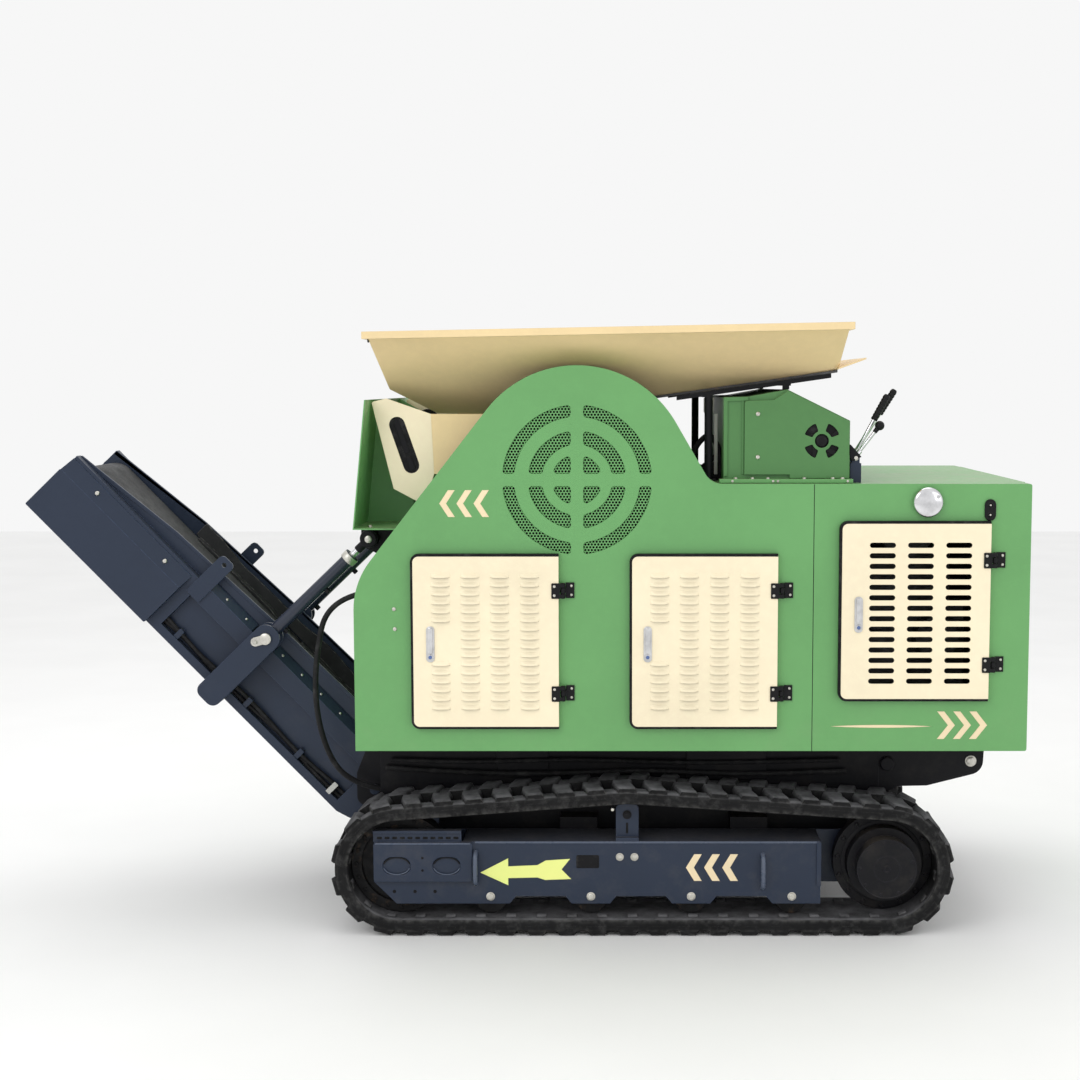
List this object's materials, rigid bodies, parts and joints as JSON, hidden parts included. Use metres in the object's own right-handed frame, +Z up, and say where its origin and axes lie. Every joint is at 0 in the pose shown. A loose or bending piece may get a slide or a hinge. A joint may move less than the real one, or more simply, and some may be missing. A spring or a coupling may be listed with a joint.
{
  "type": "tracked jaw crusher",
  "caption": "Small tracked jaw crusher with feed hopper, sheet-metal housing with doors, flywheel arch, rubber tracks and a hinged discharge conveyor with lift cylinders.",
  "frame": {"origin": "centre of the bounding box on the ground under the tracks", "axes": "+X towards the engine end, -X towards the discharge conveyor, -Y the side with the doors that open, +Z up"},
  "size_m": [3.204, 1.4, 1.9092],
  "materials": {
    "green": "satin",
    "dark_green": "satin",
    "cream": "satin",
    "tan": "satin",
    "navy": "satin",
    "black": "satin",
    "rubber": "matt",
    "iron": "rough",
    "steel": "brushed",
    "chrome": "polished",
    "mesh": "perforated"
  },
  "bodies": {
    "machine": {"side_panel_near": "green", "engine_panel_near": "green", "side_panel_far": "green", "flywheel_guards": "mesh", "end_plates": "green", "engine_deck": "green", "hinge_seats": "black", "far_doors": "cream", "rubber_track_near": "rubber", "rubber_track_far": "rubber", "track_frame_near": "navy", "track_frame_far": "navy", "final_drives": "black", "idlers": "iron", "track_rollers": "iron", "chassis_frame": "black", "rear_bracket": "black", "crusher_frame": "dark_green", "fixed_jaw": "iron", "swing_jaw": "iron", "flywheels": "iron", "discharge_chute": "black", "hopper": "tan", "feeder_pan": "iron", "feeder_frame": "black", "inlet_cheeks": "cream", "inlet_plates": "tan", "end_guard": "green", "cabinet": "dark_green", "cabinet_cover": "dark_green", "fuel_cap": "chrome", "socket_plate": "black", "lever_base": "navy", "engine": "iron", "hydraulic_tank": "black", "lift_brackets": "black", "hose_body": "rubber"},
    "door_front": {"door_front": "cream", "door_front_fittings": "steel"},
    "door_middle": {"door_middle": "cream", "door_middle_fittings": "steel"},
    "door_engine": {"door_engine": "cream", "door_engine_fittings": "steel"},
    "conveyor": {"conveyor_frame": "navy", "conveyor_skirts": "rubber", "conveyor_belt": "rubber", "conveyor_pulleys": "steel", "head_cover": "navy"},
    "lift_barrels": {"lift_barrels": "navy"},
    "lift_rods": {"lift_rods": "chrome"},
    "lever_short": {"lever_short": "chrome"},
    "lever_left": {"lever_left": "chrome"},
    "lever_right": {"lever_right": "chrome"}
  },
  "joints": [
    {"name": "door_front_hinge", "type": "hinge", "parent": "machine", "child": "door_front", "pos_m": [0.162, -0.606, 0.9335], "axis": [0, 0, 1], "range_deg": [0, 110]},
    {"name": "door_middle_hinge", "type": "hinge", "parent": "machine", "child": "door_middle", "pos_m": [0.836, -0.606, 0.9335], "axis": [0, 0, 1], "range_deg": [0, 110]},
    {"name": "door_engine_hinge", "type": "hinge", "parent": "machine", "child": "door_engine", "pos_m": [1.488, -0.606, 1.0275], "axis": [0, 0, 1], "range_deg": [0, 110]},
    {"name": "conveyor_lift", "type": "hinge", "parent": "machine", "child": "conveyor", "pos_m": [-0.476, 0, 0.385], "axis": [0, 1, 0], "range_deg": [-15, 0]},
    {"name": "barrel_pivot", "type": "hinge", "parent": "conveyor", "child": "lift_barrels", "pos_m": [-0.8164, 0, 0.89872], "axis": [0, 1, 0], "range_deg": [0, 16.5]},
    {"name": "rod_slide", "type": "slide", "parent": "lift_barrels", "child": "lift_rods", "axis": [0.7209, 0, 0.693], "range_m": [0, 0.162]},
    {"name": "lever_short_pivot", "type": "hinge", "parent": "machine", "child": "lever_short", "pos_m": [1.069, -0.5, 1.497], "axis": [0, 1, 0], "range_deg": [-15, 15], "stiffness_Nm_per_rad": 8},
    {"name": "lever_left_pivot", "type": "hinge", "parent": "machine", "child": "lever_left", "pos_m": [1.069, -0.468, 1.497], "axis": [0, 1, 0], "range_deg": [-15, 15], "stiffness_Nm_per_rad": 8},
    {"name": "lever_right_pivot", "type": "hinge", "parent": "machine", "child": "lever_right", "pos_m": [1.069, -0.436, 1.497], "axis": [0, 1, 0], "range_deg": [-15, 15], "stiffness_Nm_per_rad": 8}
  ],
  "couplings": [
    {"joint": "barrel_pivot", "follows": "conveyor_lift", "ratio": -1.073},
    {"joint": "rod_slide", "follows": "conveyor_lift", "m_per_rad": -0.61151}
  ]
}
